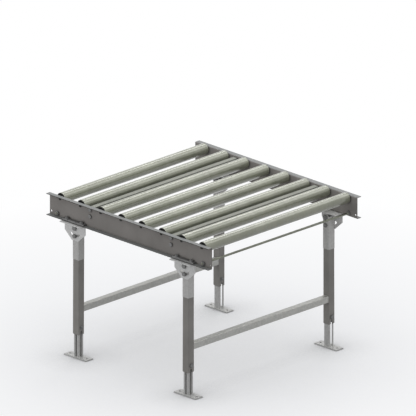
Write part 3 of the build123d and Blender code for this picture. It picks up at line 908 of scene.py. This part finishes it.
# Feet
# A square tube with a slot in two of its walls, which slides in the leg, and a drilled base plate.
# The two are welded and then galvanised, so the bead and the plate share one skin of zinc.
foot_half = 0.015
foot_corner = 0.0025
plate_top = 0.005
slot_half = 0.0055
slot_top = 0.412
slot_depth = 0.004
slot_steps = 8
foot_zinc_dark = (0.53, 0.528, 0.515, 1.0)
foot_zinc_pale = (0.67, 0.668, 0.655, 1.0)


def side_slot(mesh, centre, side):
    """The mesh with a second slot, cut through the foot's outer wall from its plate up."""
    outline = [(-slot_half, plate_top), (slot_half, plate_top)]
    outline += [(slot_half * cos(turn), slot_top - slot_half + slot_half * sin(turn))
                for turn in (pi * i / slot_steps for i in range(slot_steps + 1))]
    cutter = bmesh.new()
    inner, outer = [[cutter.verts.new((centre.x + x, centre.y + side * y, z)) for x, z in outline]
                    for y in (foot_half - slot_depth, foot_half + plate_arris)]
    for i in range(len(outline)):
        cutter.faces.new((inner[i - 1], inner[i], outer[i], outer[i - 1]))
    cutter.faces.new(inner)
    cutter.faces.new(outer[::-1])
    bmesh.ops.recalc_face_normals(cutter, faces=cutter.faces)
    objects = []
    for name, part in (("uncut", mesh), ("cutter", cutter)):
        data = bpy.data.meshes.new(name)
        part.to_mesh(data)
        part.free()
        objects.append(bpy.data.objects.new(name, data))
        bpy.context.scene.collection.objects.link(objects[-1])
    uncut, tool = objects
    cut = uncut.modifiers.new("slot", "BOOLEAN")
    cut.object = tool
    cut.operation = "DIFFERENCE"
    cut.solver = "EXACT"
    depsgraph = bpy.context.evaluated_depsgraph_get()
    result = bmesh.new()
    result.from_mesh(bpy.data.meshes.new_from_object(uncut.evaluated_get(depsgraph), depsgraph=depsgraph))
    for spare in objects:
        bpy.data.objects.remove(spare)
    return result


foot_zinc = plated("galvanised_foot", foot_zinc_dark, foot_zinc_pale, roughness=0.42, cell=0.006,
                   metallic=0.12)
for foot in sorted(n for n in cad_nodes if n.endswith("_foot")):
    low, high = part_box(foot)
    centre = (low + high) / 2
    tube_box = (Vector((centre.x - foot_half, centre.y - foot_half, low.z)),
                Vector((centre.x + foot_half, centre.y + foot_half, high.z)))
    side = 1 if centre.y > 0 else -1
    piece = side_slot(rounded_tube(foot, 2, foot_corner, tube_box), centre, side)
    left, right = centre.x - foot_half, centre.x + foot_half
    near, far = centre.y - foot_half, centre.y + foot_half
    run = [(right, centre.y + slot_half), (right, far - foot_corner), (right - foot_corner, far),
           (left + foot_corner, far), (left, far - foot_corner), (left, near + foot_corner),
           (left + foot_corner, near), (right - foot_corner, near), (right, near + foot_corner),
           (right, centre.y - slot_half)]
    piece.from_mesh(beads([([(x, y, plate_top) for x, y in run], False)], foot_zinc))
    dressed(foot, piece, foot_zinc)


# Floor
# A plain pale studio floor, matt, which turns white with distance and lies a hair below the feet.
# It keeps the conveyor's soft shadow, and paints a deeper shadow below the bed and round the feet from how open
# the floor lies there.
floor_reach = 60.0
floor_tone = (0.33, 0.33, 0.335, 1.0)
pale_floor = (0.93, 0.935, 0.95, 1.0)
glow_near = (0.98, 0.985, 1.0, 1.0)
glow_share = 0.50
bed_reach = 0.9
foot_reach = 0.22
bed_shade = 0.86
foot_shade = 0.45
floor_drop = 0.0002
floor_data = bpy.data.meshes.new("floor")
floor_corners = [(-2 * floor_reach, -floor_reach, -floor_drop), (2 * floor_reach, -floor_reach, -floor_drop),
                 (0, 2 * floor_reach, -floor_drop)]
floor_data.from_pydata(floor_corners, [], [(0, 1, 2)])
floor = bpy.data.objects.new("floor", floor_data)
bpy.context.scene.collection.objects.link(floor)


def in_view(tree):
    """One for rays that show the background: seen by the camera, or in metal or glass."""
    path = add(tree, "ShaderNodeLightPath").outputs
    shown = sum_of(tree, "MAXIMUM", path["Is Camera Ray"], path["Is Glossy Ray"])
    return sum_of(tree, "MAXIMUM", shown, path["Is Transmission Ray"])


floor_paint = bpy.data.materials.new("floor_paint")
floor_paint.use_nodes = True
tree = floor_paint.node_tree
tree.nodes.clear()
here = add(tree, "ShaderNodeTexCoord").outputs["Object"]
away = add(tree, "ShaderNodeVectorMath", {0: here}, operation="LENGTH").outputs["Value"]
# Painted shadow: the floor's colour and glow darken where the bed and the feet close it in.
painted_bed_shadow = ranged(tree, openness(tree, bed_reach, samples=8), 0.5, 1.0, bed_shade, 1.0)
painted_foot_shadow = ranged(tree, openness(tree, foot_reach, samples=8), 0.6, 0.985, foot_shade, 1.0)
shaded = product(tree, painted_bed_shadow, painted_foot_shadow)
shown_floor = mixed(tree, shaded, (0, 0, 0, 1), pale_floor)
floor_colour = mixed(tree, in_view(tree), floor_tone, shown_floor)
matt = add(tree, "ShaderNodeBsdfDiffuse", {"Color": floor_colour}).outputs[0]
white = mixed(tree, ranged(tree, away, 0.6, 2.4, 0.0, 1.0), glow_near, (1, 1, 1, 1))
glow = add(tree, "ShaderNodeEmission", {"Color": white, "Strength": shaded}).outputs[0]
lit = product(tree, in_view(tree), ranged(tree, away, 0.4, 2.0, glow_share, 1.0))
shown = add(tree, "ShaderNodeMixShader", {0: lit, 1: matt, 2: glow}).outputs[0]
add(tree, "ShaderNodeOutputMaterial", {"Surface": shown})
floor_data.materials.append(floor_paint)


# Light and camera
# Five soft lamps, above, behind, to the left and to the right, in an even pale room.
# The camera looks along the photograph's line of sight, with parallel sight lines as there.
room_strength = 0.44
room_tint = (0.97, 0.985, 1.0, 1.0)
world = bpy.data.worlds.new("room")
world.use_nodes = True
tree = world.node_tree
tree.nodes.clear()
seen = in_view(tree)
room = add(tree, "ShaderNodeBackground", {"Color": mixed(tree, seen, room_tint, (1, 1, 1, 1)),
                                          "Strength": ranged(tree, seen, 0.0, 1.0, room_strength, 1.0)})
add(tree, "ShaderNodeOutputWorld", {"Surface": room.outputs[0]})
bpy.context.scene.world = world


def soft_lamp(name, spot, aim, width, height, power):
    """Soft lamp behind a rectangular cloth, at a spot, turned to an aim."""
    data = bpy.data.lights.new(name, "AREA")
    data.shape = "RECTANGLE"
    data.size = width
    data.size_y = height
    data.energy = power
    lamp = bpy.data.objects.new(name, data)
    lamp.location = spot
    lamp.rotation_euler = (Vector(aim) - Vector(spot)).to_track_quat("-Z", "Y").to_euler()
    bpy.context.scene.collection.objects.link(lamp)


soft_lamp("upper_lamp", (-0.4, 0.2, 3.2), aim=(0, 0, 0.6), width=2.4, height=2.4, power=30.0)
soft_lamp("back_lamp", (1.0, 3.0, 3.65), aim=(0, 0, 0.7), width=2.6, height=1.2, power=20.0)
soft_lamp("rim_lamp", (-1.9, 3.3, 3.9), aim=(0, 0, 0.7), width=1.2, height=1.2, power=16.0)
soft_lamp("left_lamp", (-1.6, -2.8, 1.4), aim=(0, 0, 0.5), width=1.8, height=1.8, power=12.0)
soft_lamp("right_lamp", (3.2, -0.6, 1.2), aim=(0, 0, 0.4), width=1.8, height=1.8, power=5.0)

camera_turn = radians(45)
camera_rise = radians(20.25)
camera_aim = Vector((0.0133, 0.0133, 0.6684))
camera_distance = 6.0
view_width = 1.8164
camera_data = bpy.data.cameras.new("camera")
camera_data.type = "ORTHO"
camera_data.ortho_scale = view_width
camera_data.clip_end = 100.0
camera = bpy.data.objects.new("camera", camera_data)
back = Vector((sin(camera_turn) * cos(camera_rise), -cos(camera_turn) * cos(camera_rise), sin(camera_rise)))
camera.location = camera_aim + back * camera_distance
camera.rotation_euler = (-back).to_track_quat("-Z", "Y").to_euler()
bpy.context.scene.collection.objects.link(camera)
bpy.context.scene.camera = camera
bpy.context.scene.view_settings.view_transform = "Standard"
